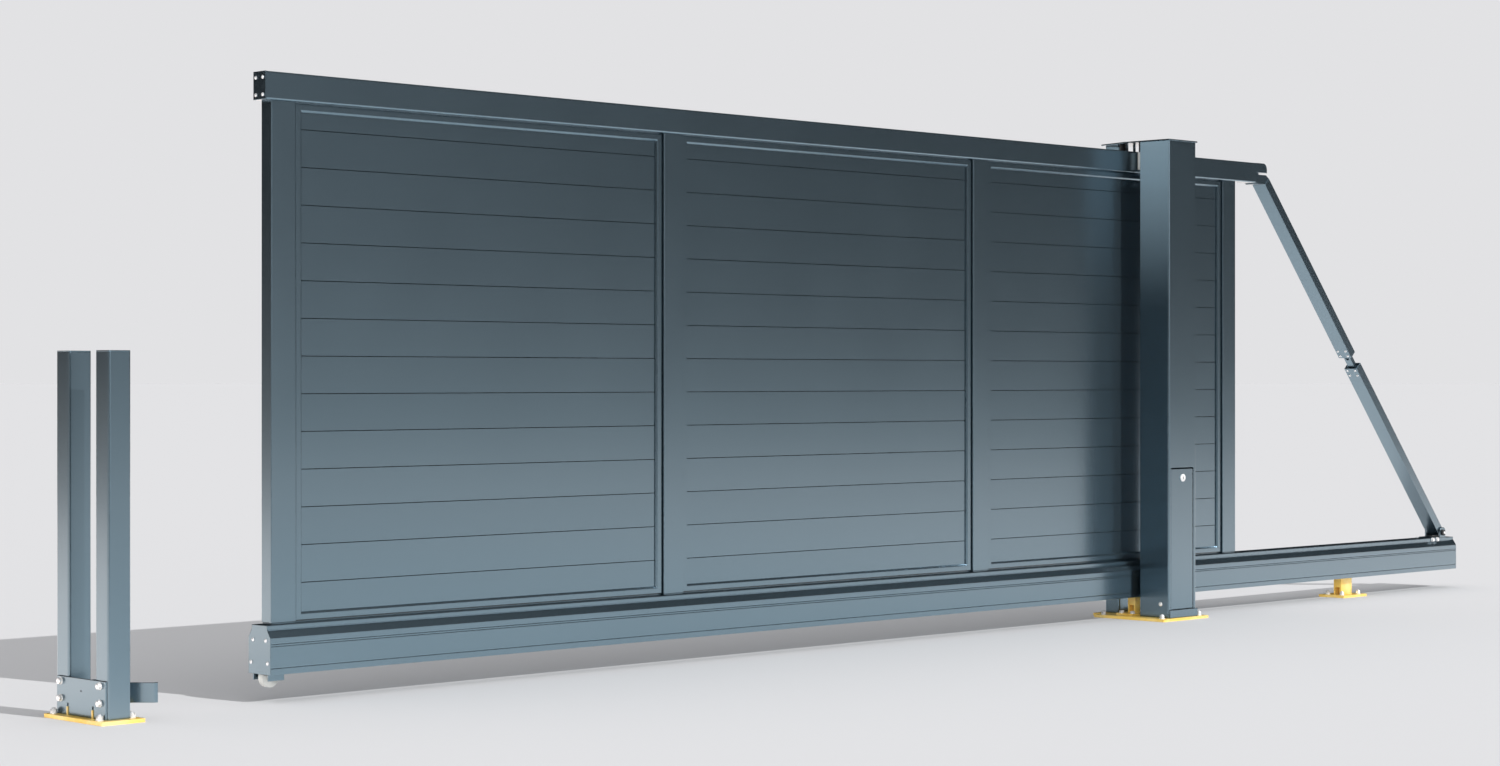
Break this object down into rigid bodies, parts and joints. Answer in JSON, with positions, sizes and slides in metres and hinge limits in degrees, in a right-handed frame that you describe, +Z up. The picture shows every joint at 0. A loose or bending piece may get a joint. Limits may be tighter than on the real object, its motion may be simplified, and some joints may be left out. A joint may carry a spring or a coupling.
{
  "type": "sliding driveway gate",
  "caption": "Cantilever sliding driveway gate: a panelled leaf on a hollow bottom rail runs through a guide portal on floor carriages and closes between receiver posts.",
  "frame": {"origin": "on the ground under the portal base plate, midway along the front post, in the leaf's middle plane", "axes": "+X along the gate towards the cantilever tail, +Y to the rear of the gate, +Z up"},
  "size_m": [8.0035, 0.441, 2.1115],
  "materials": {
    "paint": "satin",
    "yellow_zinc": "satin",
    "nylon": "matte",
    "steel": "satin"
  },
  "bodies": {
    "posts": {"portal_base_plate": "yellow_zinc", "portal_front_post": "paint", "portal_rear_post": "paint", "portal_top_plate": "paint", "portal_skirt": "paint", "front_guide_bracket": "paint", "rear_guide_bracket": "paint", "front_carriage": "yellow_zinc", "rear_carriage": "yellow_zinc", "carriage_wheels": "nylon", "receiver_base_plate": "yellow_zinc", "receiver_front_post": "paint", "receiver_front_cap": "paint", "receiver_rear_post": "paint", "receiver_rear_cap": "paint", "receiver_tie_plate": "paint", "catcher": "paint"},
    "leaf": {"bottom_rail": "paint", "rail_front_cap": "paint", "rail_rear_cap": "paint", "end_roller_bracket": "paint", "top_beam": "paint", "top_beam_front_cap": "paint", "front_stile": "paint", "middle_stile_1": "paint", "middle_stile_2": "paint", "rear_stile": "paint", "panel_1": "paint", "panel_beads_1": "paint", "panel_2": "paint", "panel_beads_2": "paint", "panel_3": "paint", "panel_beads_3": "paint", "brace_upper_strut": "paint", "brace_lower_strut": "paint", "brace_coupling": "paint", "brace_head": "paint", "brace_top_hinge": "paint", "brace_clevis": "paint"},
    "end_roller": {"end_roller": "nylon"},
    "door": {"service_door": "paint", "door_lock": "steel"},
    "guide_roller_front_left": {"front_guide_roller_left": "nylon"},
    "guide_roller_front_right": {"front_guide_roller_right": "nylon"},
    "guide_roller_rear_left": {"rear_guide_roller_left": "nylon"},
    "guide_roller_rear_right": {"rear_guide_roller_right": "nylon"}
  },
  "joints": [
    {"name": "leaf_slide", "type": "slide", "parent": "posts", "child": "leaf", "axis": [1, 0, 0], "range_m": [-0.65, 4.45]},
    {"name": "service_door_hinge", "type": "hinge", "parent": "posts", "child": "door", "pos_m": [-0.0815, -0.2405, 0.357], "axis": [0, 0, -1], "range_deg": [0, 105]},
    {"name": "end_roller_spin", "type": "hinge", "parent": "leaf", "child": "end_roller", "pos_m": [-4.686, 0, 0.0815], "axis": [0, 1, 0], "continuous": true},
    {"name": "front_left_guide_spin", "type": "hinge", "parent": "posts", "child": "guide_roller_front_left", "pos_m": [-0.042, -0.053, 2.026], "axis": [0, 0, 1], "continuous": true},
    {"name": "front_right_guide_spin", "type": "hinge", "parent": "posts", "child": "guide_roller_front_right", "pos_m": [0.042, -0.053, 2.026], "axis": [0, 0, 1], "continuous": true},
    {"name": "rear_left_guide_spin", "type": "hinge", "parent": "posts", "child": "guide_roller_rear_left", "pos_m": [-0.042, 0.053, 2.026], "axis": [0, 0, 1], "continuous": true},
    {"name": "rear_right_guide_spin", "type": "hinge", "parent": "posts", "child": "guide_roller_rear_right", "pos_m": [0.042, 0.053, 2.026], "axis": [0, 0, 1], "continuous": true}
  ]
}
